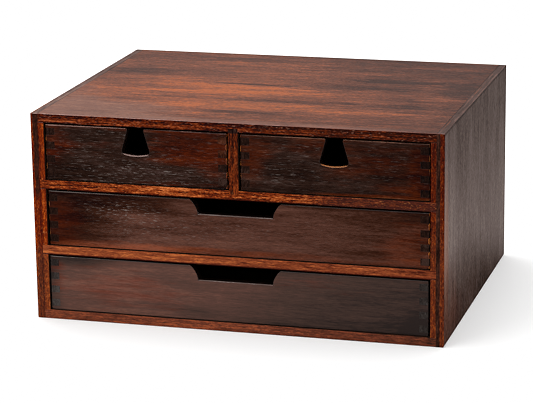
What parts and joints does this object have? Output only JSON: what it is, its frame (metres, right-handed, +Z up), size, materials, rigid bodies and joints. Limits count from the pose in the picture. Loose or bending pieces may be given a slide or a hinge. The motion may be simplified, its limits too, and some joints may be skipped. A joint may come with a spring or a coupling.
{
  "type": "desktop mini drawers",
  "caption": "Low stained-plywood desktop chest with small drawers over full-width drawers, finger-jointed fronts and cut-out finger pulls.",
  "frame": {"origin": "middle of the underside, on the surface that the chest stands on", "axes": "+X to the right seen from the front, the drawer fronts face -Y, +Z up"},
  "size_m": [0.34, 0.267, 0.1725],
  "materials": {
    "side_stain": "satin grey-brown stain on plywood, grain upright",
    "top_stain": "satin reddish-brown stain on plywood, grain across the width",
    "edge_stain": "satin orange-brown stain on plywood edges",
    "back_ply": "thin stained plywood, satin",
    "brad_steel": "dull steel",
    "front_stain": "very dark brown stain, open grain, satin",
    "lower_front_stain": "dark grey-brown stain, satin",
    "drawer_box_stain": "dark brown stain, satin",
    "drawer_floor": "thin stained plywood, matt"
  },
  "bodies": {
    "case": {"left_side_panel": "side_stain", "right_side_panel": "side_stain", "top_panel": "top_stain", "bottom_panel": "edge_stain", "lower_shelf": "edge_stain", "upper_shelf": "edge_stain", "center_divider": "edge_stain", "back_panel": "back_ply", "back_panel_brads": "brad_steel"},
    "left_drawer": {"left_drawer_front": "front_stain", "left_drawer_back": "drawer_box_stain", "left_drawer_left_side": "drawer_box_stain", "left_drawer_right_side": "drawer_box_stain", "left_drawer_bottom": "drawer_floor"},
    "right_drawer": {"right_drawer_front": "front_stain", "right_drawer_back": "drawer_box_stain", "right_drawer_left_side": "drawer_box_stain", "right_drawer_right_side": "drawer_box_stain", "right_drawer_bottom": "drawer_floor"},
    "middle_drawer": {"middle_drawer_front": "front_stain", "middle_drawer_back": "drawer_box_stain", "middle_drawer_left_side": "drawer_box_stain", "middle_drawer_right_side": "drawer_box_stain", "middle_drawer_bottom": "drawer_floor"},
    "lower_drawer": {"lower_drawer_front": "lower_front_stain", "lower_drawer_back": "drawer_box_stain", "lower_drawer_left_side": "drawer_box_stain", "lower_drawer_right_side": "drawer_box_stain", "lower_drawer_bottom": "drawer_floor"}
  },
  "joints": [
    {"name": "left_drawer_slide", "type": "slide", "parent": "case", "child": "left_drawer", "axis": [0, -1, 0], "range_m": [0, 0.2]},
    {"name": "right_drawer_slide", "type": "slide", "parent": "case", "child": "right_drawer", "axis": [0, -1, 0], "range_m": [0, 0.2]},
    {"name": "middle_drawer_slide", "type": "slide", "parent": "case", "child": "middle_drawer", "axis": [0, -1, 0], "range_m": [0, 0.2]},
    {"name": "lower_drawer_slide", "type": "slide", "parent": "case", "child": "lower_drawer", "axis": [0, -1, 0], "range_m": [0, 0.2]}
  ]
}
